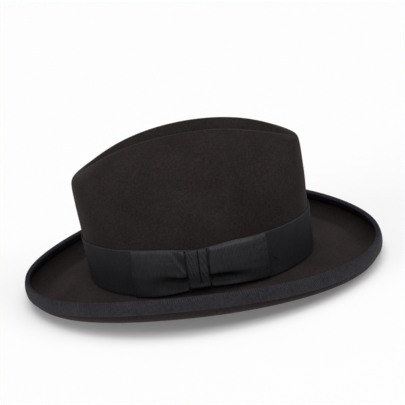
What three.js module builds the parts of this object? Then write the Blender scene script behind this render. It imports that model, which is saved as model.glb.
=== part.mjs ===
// Homburg hat: a blocked felt body with a creased crown and a curled brim, a wide ribbed
// band with a flat bow on the wearer's left, and a ribbed binding folded over the brim's lip.
// Millimetres, +Z up, -Y to the front of the hat, +X to the wearer's left. The origin is on
// the surface that the brim rests on, under the middle of the brim.
import * as THREE from 'three';
import { mergeVertices } from 'three/addons/utils/BufferGeometryUtils.js';

// Thicknesses and the clearance between pieces
const FELT_WALL = 1.8;
const RIBBON = 1.0;
const CLEARANCE = 0.3;

// Where the foot of the crown stands over the resting surface
const CROWN_FOOT = { y: -1.5, z: 15.2 };

// Plan ovals of the felt: half sizes toward the side, the front and the back. Egg widens
// the back and narrows the front, taper draws both ends in.
const OVAL = {
  foot: { side: 82.4, front: 101.8, back: 104.5, egg: 0.01, taper: 0.03 },
  shoulder: { side: 73.5, front: 105.8, back: 107.2, egg: 0.01, taper: 0 },
  lip: { side: 137.1, front: 161.4, back: 164.4, egg: 0.03, taper: 0.066 },
};

// Heights over the foot of the crown at the side, front and back, and what is added at the
// quarters between the side and the front or back
const HEIGHT = {
  shoulder: { side: 107, front: 94, back: 108, frontQuarter: 0, backQuarter: 0 },
  lip: { side: 21.2, front: 5.7, back: 6.3, frontQuarter: -2.2, backQuarter: -2.2 },
};

// Crest round the gutter crease: its ends, its half width, how soon it narrows toward each
// end, and the heights of its arch
const CREST = { front: -98.5, back: 101, half: 19.6, frontPower: 2.75, backPower: 4.6, closing: 0.8 };
const ARCH = { top: 129, rise: 6.25, sag: 21.1, droop: 5, span: 100 };
const CREASE = { depth: 22, fade: 3 };

// Fullness of the crown's section, 0 for a straight line and 1 for one that reaches for the
// shoulder, and how strongly the shoulder draws the section to itself
const FULLNESS = { side: 0.84, end: 0.985, crestSide: 0.84, crestEnd: 1 };
const PULL = { side: 1, front: 3, back: 1.9 };
const STEEPEST = 2.2;
const ROUNDING = { crest: 6.5, crestShare: 0.4, crease: 9, creaseShare: 0.6 };

// Brim section: fillet at the foot, then a flat run, then the curl up to the lip
const ROOT = { radius: 2, top: 1.2 };
const CURL = { side: 15.6, front: 14, back: 14.6, frontQuarter: -0.9, backQuarter: -2.2 };
const CURL_TURN = THREE.MathUtils.degToRad(113);

// Ribbon pieces, heights over the foot of the crown
const BAND = { bottom: 1.4, rows: 4 };
const BAND_TOP = { side: 43.9, front: 42, back: 41.6, frontQuarter: 0, backQuarter: 0 };
const BAND_DIP = { depth: 2.6, reach: 34 };
const BINDING = { inner: 5.4, outer: 10, bulge: 0.45 };

// The bow lies on the band. Along is measured round the crown from the middle of the knot,
// low and high are the ribbon's edges over the foot of the crown, lift is how far its face
// stands off the band, tuck is how far the part below the crease is set back, and crease is
// the share of the bow's height at which the crease lies.
const BOW = { middle: THREE.MathUtils.degToRad(5.1), reach: 104.5, plies: 2.3 };
const BOW_STATIONS = [
  { along: -60.2, low: -0.1, high: 43.3, lift: 2.4, tuck: 0, crease: 0.46 },
  { along: -52, low: 0.2, high: 43.4, lift: 2.8, tuck: 0, crease: 0.46 },
  { along: -42, low: 0.9, high: 43.6, lift: 3.3, tuck: 0.2, crease: 0.46 },
  { along: -32, low: 2.2, high: 43.6, lift: 3.9, tuck: 0.7, crease: 0.44 },
  { along: -22, low: 3.8, high: 43.1, lift: 4.7, tuck: 1.3, crease: 0.39 },
  { along: -14, low: 5.1, high: 42, lift: 5.1, tuck: 1.7, crease: 0.355 },
  { along: -10.7, low: 5.9, high: 41.3, lift: 4.6, tuck: 1.5, crease: 0.345 },
  { along: -9.4, low: 9.2, high: 39, lift: 2.9, tuck: 0.3, crease: 0.335 },
  { along: 0, low: 9.2, high: 39, lift: 2.9, tuck: 0, crease: 0.335 },
  { along: 9.4, low: 9.2, high: 39, lift: 2.9, tuck: 0.3, crease: 0.335 },
  { along: 10.7, low: 6.9, high: 41, lift: 4.7, tuck: 1.5, crease: 0.325 },
  { along: 14, low: 6.6, high: 41.4, lift: 5.3, tuck: 1.8, crease: 0.325 },
  { along: 22, low: 5.9, high: 41.7, lift: 5.1, tuck: 1.5, crease: 0.325 },
  { along: 32, low: 4.9, high: 42, lift: 4.4, tuck: 0.8, crease: 0.325 },
  { along: 43, low: 3.9, high: 42.3, lift: 3.6, tuck: 0.3, crease: 0.325 },
  { along: 53, low: 3, high: 42.6, lift: 3, tuck: 0.1, crease: 0.325 },
  { along: 64.5, low: 2.2, high: 42.9, lift: 2.4, tuck: 0, crease: 0.325 },
];

// How far the lower corner of the wing before the knot leans forward, and where that starts
const BOW_LEAN = { along: 3.6, from: 22, to: 60.2 };

// Across the bow from its lower edge up: how much of the lift each row has, and how much
// of the tuck. The shares are those of a bow whose crease lies at PROFILE_CREASE.
const PROFILE_CREASE = 0.395;
const BOW_PROFILE = [
  { share: 0, full: 0.64, tucked: 0.4 },
  { share: 0.08, full: 0.86, tucked: 1 },
  { share: 0.24, full: 0.95, tucked: 1 },
  { share: 0.37, full: 0.98, tucked: 1 },
  { share: 0.42, full: 1, tucked: 0 },
  { share: 0.64, full: 1.04, tucked: 0 },
  { share: 0.88, full: 0.94, tucked: 0 },
  { share: 1, full: 0.68, tucked: 0 },
];

// The knot wraps the pinched middle of the bow: its half width, its ends, how far it stands
// off the band, its corners, and how much it swells in the middle and dips at its pleat
const KNOT = { half: 9, low: 7.2, high: 41.5, stand: 5.2, wall: 1.5, corner: 2.2, cut: 0.3 };
const KNOT_RELIEF = { swell: 0.5, atCorner: 0.5, pleat: 0.45 };
const KNOT_COLUMNS = 8;

// Columns round the hat and rows in each stretch of the felt's section
const COLUMNS = 64;
const ROWS = { crease: 4, crown: 9, root: 2, flat: 3, curl: 7 };

// The curl's first two rows lie close together, on the level strip that the brim rests on:
// the second at this angle, the first at this share of the way to it
const REST_ROWS = { first: 0.6, second: THREE.MathUtils.degToRad(8) };

const COLOR = { felt: 0x1f1b1a, ribbon: 0x1b1d22, bow: 0x1c1e22 };

const mix = THREE.MathUtils.lerp;
const vec = (x, y, z) => new THREE.Vector3(x, y, z);

function ovalPoint(oval, t) {
  const c = Math.cos(t);
  const s = Math.sin(t);
  const length = s < 0 ? oval.front : oval.back;
  return vec(oval.side * c * (1 + oval.egg * s - oval.taper * s * s), length * s, 0);
}

function heightAt(heights, t) {
  const c2 = Math.cos(t) ** 2;
  const s2 = 1 - c2;
  const forward = Math.sin(t) < 0;
  const end = forward ? heights.front : heights.back;
  const quarter = forward ? heights.frontQuarter : heights.backQuarter;
  return heights.side * c2 + end * s2 + quarter * 4 * c2 * s2;
}

function archHeight(y) {
  const q = y / ARCH.span;
  return ARCH.top + ARCH.rise * q - ARCH.sag * q ** 2 - ARCH.droop * q ** 4;
}

function crestPoint(t) {
  const s = Math.sin(t);
  const y = (CREST.front + CREST.back) / 2 + ((CREST.back - CREST.front) / 2) * s;
  const power = s < 0 ? CREST.frontPower : CREST.backPower;
  const half = CREST.half * Math.max(0, 1 - Math.abs(s) ** power) ** CREST.closing;
  return vec(half * Math.sign(Math.cos(t)), y, archHeight(y));
}

function creasePoint(t) {
  const p = crestPoint(t);
  const depth = CREASE.depth * Math.abs(Math.cos(t)) ** CREASE.fade;
  return vec(0, p.y, p.z - depth);
}

// A cubic curve whose two inner points draw it to themselves as strongly as pull says
function bezier(p0, p1, p2, p3, u, pull = 1) {
  const v = 1 - u;
  const shares = [v ** 3, 3 * v * v * u * pull, 3 * v * u * u * pull, u ** 3];
  const total = shares.reduce((sum, share) => sum + share, 0);
  const point = vec(0, 0, 0);
  [p0, p1, p2, p3].forEach((p, i) => point.addScaledVector(p, shares[i] / total));
  return point;
}

// The stretches of the section, each for u from 0 to 1, from the crease out to the lip
function creaseSection(t, u) {
  const crest = crestPoint(t);
  const crease = creasePoint(t);
  const half = Math.abs(crest.x);
  const out = Math.sign(crest.x);
  const low = Math.min(ROUNDING.crease, half * ROUNDING.creaseShare);
  const high = Math.min(ROUNDING.crest, half * ROUNDING.crestShare);
  const rise = high * crestSlope(t) * Math.abs(Math.cos(t));
  const floor = crease.clone().add(vec(out * low, 0, 0));
  const brow = crest.clone().add(vec(-out * high, 0, rise));
  return bezier(crease, floor, brow, crest, u);
}

function shoulderPoint(t) {
  return ovalPoint(OVAL.shoulder, t).setZ(heightAt(HEIGHT.shoulder, t));
}

// How steeply the crown's top falls outward at the crest
function crestSlope(t) {
  const crest = crestPoint(t);
  const shoulder = shoulderPoint(t);
  return (crest.z - shoulder.z) / Math.hypot(crest.x - shoulder.x, crest.y - shoulder.y);
}

function crownSection(t, u) {
  const crest = crestPoint(t);
  const foot = ovalPoint(OVAL.foot, t).setZ(ROOT.top);
  const shoulder = shoulderPoint(t);
  const end = Math.sin(t) ** 2;
  const high = crest.clone().lerp(shoulder, mix(FULLNESS.crestSide, FULLNESS.crestEnd, end));
  const low = foot.clone().lerp(shoulder, mix(FULLNESS.side, FULLNESS.end, end));
  const pull = mix(PULL.side, Math.sin(t) < 0 ? PULL.front : PULL.back, end);
  return bezier(crest, high, low, foot, u, pull);
}

// Solves the brim's flat run so that the curl ends on the lip
function brimShape(t) {
  const foot = ovalPoint(OVAL.foot, t);
  const lip = ovalPoint(OVAL.lip, t);
  const radius = heightAt(CURL, t);
  const across = foot.distanceTo(lip) - ROOT.radius - radius * Math.sin(CURL_TURN);
  const up = heightAt(HEIGHT.lip, t) - ROOT.top + radius * Math.cos(CURL_TURN);
  const spare = radius - ROOT.radius;
  const flat = Math.sqrt(across ** 2 + up ** 2 - spare ** 2);
  const fall = Math.atan2(spare, flat) - Math.atan2(up, across);
  return { foot, out: lip.sub(foot).normalize(), radius, flat, fall };
}

function brimPoint(shape, n, z) {
  return shape.foot.clone().addScaledVector(shape.out, n).setZ(z);
}

function rootSection(t, u) {
  const shape = brimShape(t);
  const turn = u * (Math.PI / 2 - shape.fall);
  const r = ROOT.radius;
  return brimPoint(shape, r - r * Math.cos(turn), ROOT.top - r * Math.sin(turn));
}

function flatSection(t, u) {
  const shape = brimShape(t);
  const r = ROOT.radius;
  const n = r - r * Math.sin(shape.fall) + u * shape.flat * Math.cos(shape.fall);
  return brimPoint(shape, n, ROOT.top - r * Math.cos(shape.fall) - u * shape.flat * Math.sin(shape.fall));
}

function curlSection(t, u) {
  const shape = brimShape(t);
  const start = flatSection(t, 1);
  const n = start.clone().setZ(0).distanceTo(shape.foot);
  const angle = mix(-shape.fall, CURL_TURN, u);
  const r = shape.radius;
  const across = n + r * (Math.sin(angle) + Math.sin(shape.fall));
  return brimPoint(shape, across, start.z + r * (Math.cos(shape.fall) - Math.cos(angle)));
}

// Outward unit normal of a section function at (t, u)
function surfaceNormal(section, t, u) {
  const h = 1e-3;
  const round = section(t + h, u).sub(section(t - h, u));
  const along = section(t, u + h).sub(section(t, u - h));
  return along.cross(round).normalize();
}

function offsetPoint(section, t, u, distance) {
  return section(t, u).addScaledVector(surfaceNormal(section, t, u), distance);
}

// A grid of points joined into quads. Rows run along the section, columns round the hat.
class GridMesh {
  constructor() {
    this.positions = [];
    this.triangles = [];
  }

  addPoint(p) {
    this.positions.push(p.x, p.y, p.z);
    return this.positions.length / 3 - 1;
  }

  addRows(rows) {
    return rows.map((row) => row.map((p) => this.addPoint(p)));
  }

  quad(a, b, c, d) {
    this.triangles.push(a, b, c, a, c, d);
  }

  // Joins two rows of indices, closed round when loop is true
  join(lower, upper, loop = true) {
    const count = loop ? lower.length : lower.length - 1;
    for (let j = 0; j < count; j += 1) {
      const k = (j + 1) % lower.length;
      this.quad(lower[j], lower[k], upper[k], upper[j]);
    }
  }

  geometry() {
    const raw = new THREE.BufferGeometry();
    raw.setAttribute('position', new THREE.Float32BufferAttribute(this.positions, 3));
    raw.setIndex(this.triangles);
    return withoutSlivers(mergeVertices(raw, 1e-3));
  }
}

// Drops the triangles that have closed up where a row meets the crease
function withoutSlivers(geometry) {
  const index = geometry.index.array;
  const kept = [];
  for (let i = 0; i < index.length; i += 3) {
    const [a, b, c] = [index[i], index[i + 1], index[i + 2]];
    if (a !== b && b !== c && a !== c) kept.push(a, b, c);
  }
  geometry.setIndex(kept);
  return geometry;
}

const angles = Array.from({ length: COLUMNS }, (_, j) => (j / COLUMNS) * 2 * Math.PI);

// The felt's inner face: straight down under the crease, square to the wall elsewhere
function innerPoint(section, t, u) {
  if (section !== creaseSection) return offsetPoint(section, t, u, -FELT_WALL);
  const step = 0.01;
  const run = creaseSection(t, u + step).sub(creaseSection(t, u - step));
  const steepness = Math.abs(run.x) > step * step ? Math.hypot(run.x, run.z) / Math.abs(run.x) : 1;
  const drop = FELT_WALL * Math.min(steepness, STEEPEST);
  return creaseSection(t, u).add(vec(0, 0, -drop));
}

const evenShares = (count) => Array.from({ length: count }, (_, i) => (i + 1) / count);

function curlShares(t) {
  const { fall } = brimShape(t);
  const second = (REST_ROWS.second + fall) / (CURL_TURN + fall);
  const climb = evenShares(ROWS.curl - 2).map((share) => mix(second, 1, share));
  return [REST_ROWS.first * second, second, ...climb];
}

// The rows of one face of the felt from the crease out to the lip, one point for each column
function feltRows(place) {
  const stretches = [
    [creaseSection, () => evenShares(ROWS.crease)],
    [crownSection, () => evenShares(ROWS.crown)],
    [rootSection, () => evenShares(ROWS.root)],
    [flatSection, () => evenShares(ROWS.flat)],
    [curlSection, curlShares],
  ];
  const columns = angles.map((t) => [
    place(creaseSection, t, 0),
    ...stretches.flatMap(([section, shares]) => shares(t).map((u) => place(section, t, u))),
  ]);
  return columns[0].map((_, i) => columns.map((column) => column[i]));
}

// The felt is pressed flat where the lowest of the brim meets the resting surface
function pressedFlat(p) {
  return p.setZ(Math.max(p.z, -CROWN_FOOT.z));
}

function feltBody() {
  const mesh = new GridMesh();
  const outer = mesh.addRows(feltRows((section, t, u) => section(t, u)));
  const inner = mesh.addRows(feltRows((section, t, u) => pressedFlat(innerPoint(section, t, u))));
  for (let i = 0; i < outer.length - 1; i += 1) {
    mesh.join(outer[i + 1], outer[i]);
    mesh.join(inner[i], inner[i + 1]);
  }
  mesh.join(inner.at(-1), outer.at(-1));
  return mesh.geometry();
}

// Height over the foot of a point on the crown, turned into the section's own parameter
function crownParameter(t, height) {
  let low = 0;
  let high = 1;
  for (let i = 0; i < 40; i += 1) {
    const middle = (low + high) / 2;
    if (crownSection(t, middle).z > height) low = middle;
    else high = middle;
  }
  return low;
}

// A point that lies a given distance out from the crown's wall at a given height
function wallPoint(t, height, distance) {
  const level = Math.max(height, ROOT.top);
  const u = crownParameter(t, level);
  const normal = surfaceNormal(crownSection, t, Math.min(u, 0.999));
  const p = crownSection(t, u);
  const flatNormal = vec(normal.x, normal.y, 0).normalize();
  return p.addScaledVector(flatNormal, distance).setZ(height);
}

function closedRing(outline) {
  const mesh = new GridMesh();
  const rows = mesh.addRows(outline);
  rows.forEach((row, i) => mesh.join(row, rows[(i + 1) % rows.length]));
  return mesh.geometry();
}

// The band's upper edge, which the knot draws down a little
function bandTop(t) {
  const along = Math.abs(t - BOW.middle - (t > Math.PI ? 2 * Math.PI : 0)) * BOW.reach;
  const dip = BAND_DIP.depth * (1 - THREE.MathUtils.smoothstep(along, 0, BAND_DIP.reach));
  return heightAt(BAND_TOP, t) - dip;
}

function hatBand() {
  const shares = Array.from({ length: BAND.rows + 1 }, (_, i) => i / BAND.rows);
  const height = (t, share) => mix(BAND.bottom, bandTop(t), share);
  const ring = (distance) => (share) => angles.map((t) => wallPoint(t, height(t, share), distance));
  const front = shares.map(ring(CLEARANCE + RIBBON));
  const back = shares.toReversed().map(ring(CLEARANCE));
  return closedRing([...front, ...back]);
}

// A point over the band: along and height as in the bow's table, distance from the band
function bandPoint(along, height, distance) {
  return wallPoint(BOW.middle + along / BOW.reach, height, CLEARANCE + RIBBON + distance);
}

// Closes a front and a back grid of the same size into one body
function closedSlab(front, back) {
  const mesh = new GridMesh();
  const face = mesh.addRows(front);
  const rear = mesh.addRows(back);
  for (let i = 0; i < face.length - 1; i += 1) {
    mesh.join(face[i], face[i + 1], false);
    mesh.join(rear[i + 1], rear[i], false);
  }
  mesh.join(rear[0], face[0], false);
  mesh.join(face.at(-1), rear.at(-1), false);
  mesh.join(face.map((row) => row[0]), rear.map((row) => row[0]), false);
  mesh.join(rear.map((row) => row.at(-1)), face.map((row) => row.at(-1)), false);
  return mesh.geometry();
}

// A row's share of the bow's height, moved with the crease
function rowShare(station, share) {
  if (share < PROFILE_CREASE) return (share / PROFILE_CREASE) * station.crease;
  return 1 - ((1 - share) / (1 - PROFILE_CREASE)) * (1 - station.crease);
}

// Where a point of the bow lies along the band, with the lean of the front wing's end
function leaningAlong(station, share) {
  const growth = THREE.MathUtils.smoothstep(-station.along, BOW_LEAN.from, BOW_LEAN.to);
  return station.along - BOW_LEAN.along * growth * (1 - share);
}

function bowRibbon() {
  const stand = (station, row) => station.lift * row.full - station.tuck * row.tucked;
  const grid = (distance) => BOW_PROFILE.map((row) => BOW_STATIONS.map((station) => {
    const share = rowShare(station, row.share);
    const height = mix(station.low, station.high, share);
    return bandPoint(leaningAlong(station, share), height, distance(stand(station, row)));
  }));
  return closedSlab(grid((d) => d), grid((d) => Math.max(CLEARANCE, d - BOW.plies)));
}

// The knot's outline from its upper end at the band, over the front and back to the band
// at its lower end, each corner cut once
function knotOutline(inset, swell) {
  const { low, high, stand, corner, cut } = KNOT;
  const face = stand - inset;
  const cornerFace = face - (corner - inset) * cut;
  const besideCorner = face + swell * KNOT_RELIEF.atCorner;
  return [
    { height: high - inset, distance: CLEARANCE },
    { height: high - inset, distance: stand - corner },
    { height: high - inset - corner * cut, distance: cornerFace },
    { height: high - corner, distance: besideCorner },
    { height: mix(low, high, 0.5), distance: face + swell },
    { height: low + corner, distance: besideCorner },
    { height: low + inset + corner * cut, distance: cornerFace },
    { height: low + inset, distance: stand - corner },
    { height: low + inset, distance: CLEARANCE },
  ];
}

function bowKnot() {
  const shares = Array.from({ length: KNOT_COLUMNS + 1 }, (_, i) => (2 * i) / KNOT_COLUMNS - 1);
  const dip = (share) => (share === 0 ? KNOT_RELIEF.pleat : 0);
  const pleated = (share) => KNOT_RELIEF.swell * (1 - share ** 2) - dip(share);
  const grid = (inset, relief) => {
    const columns = shares.map((share) => knotOutline(inset, relief(share)));
    const at = (share, { height, distance }) => bandPoint(share * KNOT.half, height, distance);
    return columns[0].map((_, i) => columns.map((column, j) => at(shares[j], column[i])));
  };
  return closedSlab(grid(0, pleated).toReversed(), grid(KNOT.wall, () => 0).toReversed());
}

// Section of the binding in the curl's own terms: share of the curl and distance from the felt
function bindingSection(t) {
  const shape = brimShape(t);
  const sweep = shape.radius * (CURL_TURN + shape.fall);
  const inner = 1 - BINDING.inner / sweep;
  const outer = 1 - BINDING.outer / sweep;
  const near = CLEARANCE;
  const far = CLEARANCE + RIBBON;
  const under = -FELT_WALL;
  return { inner, outer, near, far, under };
}

function bindingRow(t) {
  const { inner, outer, near, far, under } = bindingSection(t);
  const at = (u, distance) => offsetPoint(curlSection, t, u, distance);
  const tip = curlSection(t, 1);
  const along = tip.clone().sub(curlSection(t, 0.99)).normalize();
  const over = (distance, rise) => at(1, distance).addScaledVector(along, rise);
  const steps = [0, 1 / 3, 2 / 3, 1];
  return [
    ...[0, 0.5, 1].map((k) => at(mix(inner, 1, k), far)),
    over(far * BINDING.bulge, far),
    over(under - far * BINDING.bulge, far),
    ...steps.toReversed().map((k) => at(mix(outer, 1, k), under - far)),
    ...steps.map((k) => at(mix(outer, 1, k), under - near)),
    over(under - near, near),
    over(near, near),
    ...[1, 0.5, 0].map((k) => at(mix(inner, 1, k), near)),
  ];
}

function brimBinding() {
  const columns = angles.map(bindingRow);
  const outline = columns[0].map((_, i) => columns.map((column) => column[i]));
  return closedRing(outline.toReversed());
}

function cloth(color, roughness) {
  return new THREE.MeshStandardMaterial({ color, roughness, metalness: 0 });
}

function piece(name, geometry, material) {
  const mesh = new THREE.Mesh(geometry, material);
  mesh.name = name;
  return mesh;
}

const hat = new THREE.Group();
hat.position.set(0, CROWN_FOOT.y, CROWN_FOOT.z);
hat.add(piece('felt_body', feltBody(), cloth(COLOR.felt, 0.95)));
hat.add(piece('hat_band', hatBand(), cloth(COLOR.ribbon, 0.7)));
hat.add(piece('bow_ribbon', bowRibbon(), cloth(COLOR.bow, 0.7)));
hat.add(piece('bow_knot', bowKnot(), cloth(COLOR.bow, 0.7)));
hat.add(piece('brim_binding', brimBinding(), cloth(COLOR.ribbon, 0.7)));

export default hat;
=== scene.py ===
"""Homburg hat: dark felt with a creased crown and a curled brim, a ribbed band with a flat bow on
the wearer's left, and a ribbed binding folded over the brim's lip.

Lengths in the shape functions are millimetres from the middle of the crown's foot: +X to the
wearer's left, -Y to the front, +Z up. t is the angle round the hat from +X, and u runs along a
stretch of the felt's section."""
import math

import bmesh
import bpy
import numpy as np
from mathutils import Matrix, Vector


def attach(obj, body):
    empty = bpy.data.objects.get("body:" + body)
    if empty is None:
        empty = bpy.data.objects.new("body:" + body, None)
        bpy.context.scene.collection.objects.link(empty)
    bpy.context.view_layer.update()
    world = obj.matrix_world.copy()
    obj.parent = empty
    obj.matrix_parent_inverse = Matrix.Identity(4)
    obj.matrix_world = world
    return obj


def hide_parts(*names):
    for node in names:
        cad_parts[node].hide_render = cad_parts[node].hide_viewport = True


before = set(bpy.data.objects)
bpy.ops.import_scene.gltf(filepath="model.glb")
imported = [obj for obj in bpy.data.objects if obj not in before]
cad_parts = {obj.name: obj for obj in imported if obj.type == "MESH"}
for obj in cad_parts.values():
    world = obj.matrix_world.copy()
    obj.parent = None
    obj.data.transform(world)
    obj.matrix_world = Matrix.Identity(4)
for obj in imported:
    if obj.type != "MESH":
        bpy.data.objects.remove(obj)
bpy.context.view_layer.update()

MM = 0.001
CROWN_FOOT = np.array([0.0, -1.5, 15.2])


# Camera

VIEW = dict(azimuth=98.436, elevation=19.583, roll=9.599, distance=1500.0, lens=144.13, sensor=36.0)
AIM = dict(right=1.864, up=52.773)


def direction(azimuth, elevation):
    """The unit vector toward a place seen at these angles in degrees, 0, 0 being the front."""
    a, e = math.radians(azimuth), math.radians(elevation)
    return Vector((math.sin(a) * math.cos(e), -math.cos(a) * math.cos(e), math.sin(e)))


def add_camera():
    """The photograph's view: the hat keeps its tilt against the frame, so the camera rolls."""
    a, r = math.radians(VIEW["azimuth"]), math.radians(VIEW["roll"])
    back = direction(VIEW["azimuth"], VIEW["elevation"])
    level = Vector((math.cos(a), math.sin(a), 0.0))
    upright = back.cross(level)
    right = math.cos(r) * level - math.sin(r) * upright
    up = math.sin(r) * level + math.cos(r) * upright
    target = Vector(CROWN_FOOT) + right * AIM["right"] + up * AIM["up"]
    spot = (target + back * VIEW["distance"]) * MM
    data = bpy.data.cameras.new("camera")
    data.lens = VIEW["lens"]
    data.sensor_width = VIEW["sensor"]
    camera = bpy.data.objects.new("camera", data)
    camera.matrix_world = Matrix.Translation(spot) @ Matrix((right, up, back)).transposed().to_4x4()
    bpy.context.scene.collection.objects.link(camera)
    bpy.context.scene.camera = camera


add_camera()


# Shape of the felt

FELT_WALL = 1.8
RIBBON = 1.0
CLEARANCE = 0.3
# Half sizes of the crown's foot, its shoulder and the brim's lip. Egg widens the oval to the
# back, and taper narrows both its ends.
OVAL = {
    "foot": dict(side=82.4, front=101.8, back=104.5, egg=0.01, taper=0.03),
    "shoulder": dict(side=73.5, front=105.8, back=107.2, egg=0.01, taper=0.0),
    "lip": dict(side=137.1, front=161.4, back=164.4, egg=0.03, taper=0.066),
}
# Heights of the shoulder, the lip and the band's top, and the radius of the curl, at the side,
# front and back. The quarters add to what lies between.
HEIGHT = {
    "shoulder": dict(side=107, front=94, back=108, front_quarter=0, back_quarter=0),
    "lip": dict(side=21.2, front=5.7, back=6.3, front_quarter=-2.2, back_quarter=-2.2),
    "curl": dict(side=15.6, front=14, back=14.6, front_quarter=-0.9, back_quarter=-2.2),
    "band": dict(side=43.9, front=42, back=41.6, front_quarter=0, back_quarter=0),
}
# The crest of the crown's two ridges from above, then its height along the hat
CREST = dict(front=-98.5, back=101, half=19.6, front_power=2.75, back_power=4.6, closing=0.8)
ARCH = dict(top=129, rise=6.25, sag=21.1, droop=5, span=100)
CREASE = dict(depth=22, fade=3)
# Shape of the crown's wall and of the crease: where the inner points of each curve lie between
# its ends, how strongly they pull, and how wide the brow and the crease's floor are rounded
FULLNESS = dict(side=0.84, end=0.985, crest_side=0.84, crest_end=1.0)
PULL = dict(side=1, front=3, back=1.9, crease=0.7)
ROUNDING = dict(crest=13, crest_share=0.66, rise=0.5, crease=3.5, crease_share=0.25)
# The bend from the crown's wall into the brim, and how far the curl turns
ROOT = dict(radius=2, top=1.2)
CURL_TURN = math.radians(113)
# The felt under the crease is at most this many walls thick, measured straight down
STEEPEST = 2.2
HALVINGS = 32


def vec(x, y, z):
    return np.stack(np.broadcast_arrays(x, y, z), -1).astype(float)


def unit(v):
    return v / np.maximum(np.linalg.norm(v, axis=-1, keepdims=True), 1e-12)


def smooth(x, low, high):
    s = np.clip((x - low) / (high - low), 0, 1)
    return s * s * (3 - 2 * s)


def bump(x, middle, half):
    """1 at the middle, falling smoothly to 0 at half to each side."""
    return 1 - smooth(np.abs(x - middle), 0, half)


def within(x, opening, closing):
    """Rises from 0 to 1 over the opening and falls back over the closing."""
    return smooth(x, *opening) * (1 - smooth(x, *closing))


def oval_point(oval, t):
    o, c, s = OVAL[oval], np.cos(t), np.sin(t)
    length = np.where(s < 0, o["front"], o["back"])
    return vec(o["side"] * c * (1 + o["egg"] * s - o["taper"] * s * s), length * s, 0)


def height_at(name, t):
    h, c2 = HEIGHT[name], np.cos(t) ** 2
    end = np.where(np.sin(t) < 0, h["front"], h["back"])
    quarter = np.where(np.sin(t) < 0, h["front_quarter"], h["back_quarter"])
    return h["side"] * c2 + end * (1 - c2) + quarter * 4 * c2 * (1 - c2)


def crest_point(t):
    s = np.sin(t)
    y = (CREST["front"] + CREST["back"]) / 2 + (CREST["back"] - CREST["front"]) / 2 * s
    power = np.where(s < 0, CREST["front_power"], CREST["back_power"])
    half = CREST["half"] * np.maximum(0, 1 - np.abs(s) ** power) ** CREST["closing"]
    q = y / ARCH["span"]
    z = ARCH["top"] + ARCH["rise"] * q - ARCH["sag"] * q ** 2 - ARCH["droop"] * q ** 4
    return vec(half * np.sign(np.cos(t)), y, z)


def bezier(p0, p1, p2, p3, u, pull=1.0):
    """A cubic curve whose two inner points draw it to themselves as strongly as pull says."""
    u = np.asarray(u, float)[..., None]
    v = 1 - u
    a, b, c, d = v ** 3, 3 * v * v * u * pull, 3 * v * u * u * pull, u ** 3
    return (a * p0 + b * p1 + c * p2 + d * p3) / (a + b + c + d)


def shoulder_point(t):
    return oval_point("shoulder", t) + vec(0, 0, height_at("shoulder", t))


def crease_section(t, u):
    crest, shoulder = crest_point(t), shoulder_point(t)
    depth = CREASE["depth"] * np.abs(np.cos(t)) ** CREASE["fade"]
    crease = vec(0, crest[..., 1], crest[..., 2] - depth)
    run = np.hypot(crest[..., 0] - shoulder[..., 0], crest[..., 1] - shoulder[..., 1])
    slope = (crest[..., 2] - shoulder[..., 2]) / run
    half, out = np.abs(crest[..., 0]), np.sign(crest[..., 0])
    low = np.minimum(ROUNDING["crease"], half * ROUNDING["crease_share"])
    high = np.minimum(ROUNDING["crest"], half * ROUNDING["crest_share"])
    brow = crest + vec(-out * high, 0, ROUNDING["rise"] * high * slope * np.abs(np.cos(t)))
    return bezier(crease, crease + vec(out * low, 0, 0), brow, crest, u, PULL["crease"])


def crown_section(t, u):
    crest, shoulder = crest_point(t), shoulder_point(t)
    foot = oval_point("foot", t) + vec(0, 0, ROOT["top"])
    end = (np.sin(t) ** 2)[..., None]
    f = FULLNESS
    high = crest + (shoulder - crest) * (f["crest_side"] + (f["crest_end"] - f["crest_side"]) * end)
    low = foot + (shoulder - foot) * (f["side"] + (f["end"] - f["side"]) * end)
    pull = np.where(np.sin(t) < 0, PULL["front"], PULL["back"])[..., None]
    return bezier(crest, high, low, foot, u, PULL["side"] + (pull - PULL["side"]) * end)


def brim_shape(t):
    """The brim's foot, its direction out, the curl's radius, and the flat run and the fall that
    make the curl end on the lip."""
    foot, lip = oval_point("foot", t), oval_point("lip", t)
    radius = height_at("curl", t)
    across = np.linalg.norm(lip - foot, axis=-1) - ROOT["radius"] - radius * math.sin(CURL_TURN)
    up = height_at("lip", t) - ROOT["top"] + radius * math.cos(CURL_TURN)
    spare = radius - ROOT["radius"]
    flat = np.sqrt(across ** 2 + up ** 2 - spare ** 2)
    fall = np.arctan2(spare, flat) - np.arctan2(up, across)
    return foot, unit(lip - foot), radius, flat, fall


def brim_point(foot, out, n, z):
    return foot + out * np.asarray(n)[..., None] + vec(0, 0, z)


def root_section(t, u):
    foot, out, _, _, fall = brim_shape(t)
    turn, r = u * (math.pi / 2 - fall), ROOT["radius"]
    return brim_point(foot, out, r - r * np.cos(turn), ROOT["top"] - r * np.sin(turn))


def flat_section(t, u):
    foot, out, _, flat, fall = brim_shape(t)
    r, run = ROOT["radius"], u * flat
    n = r - r * np.sin(fall) + run * np.cos(fall)
    return brim_point(foot, out, n, ROOT["top"] - r * np.cos(fall) - run * np.sin(fall))


def curl_section(t, u):
    foot, out, radius, flat, fall = brim_shape(t)
    r = ROOT["radius"]
    n = r - r * np.sin(fall) + flat * np.cos(fall)
    z = ROOT["top"] - r * np.cos(fall) - flat * np.sin(fall)
    angle = -fall + (CURL_TURN + fall) * u
    across = n + radius * (np.sin(angle) + np.sin(fall))
    return brim_point(foot, out, across, z + radius * (np.cos(fall) - np.cos(angle)))


def normal(section, t, u, h=1e-3):
    """The direction out of a stretch of the felt."""
    down = section(t, u + h) - section(t, u - h)
    return unit(np.cross(down, section(t + h, u) - section(t - h, u)))


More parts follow.
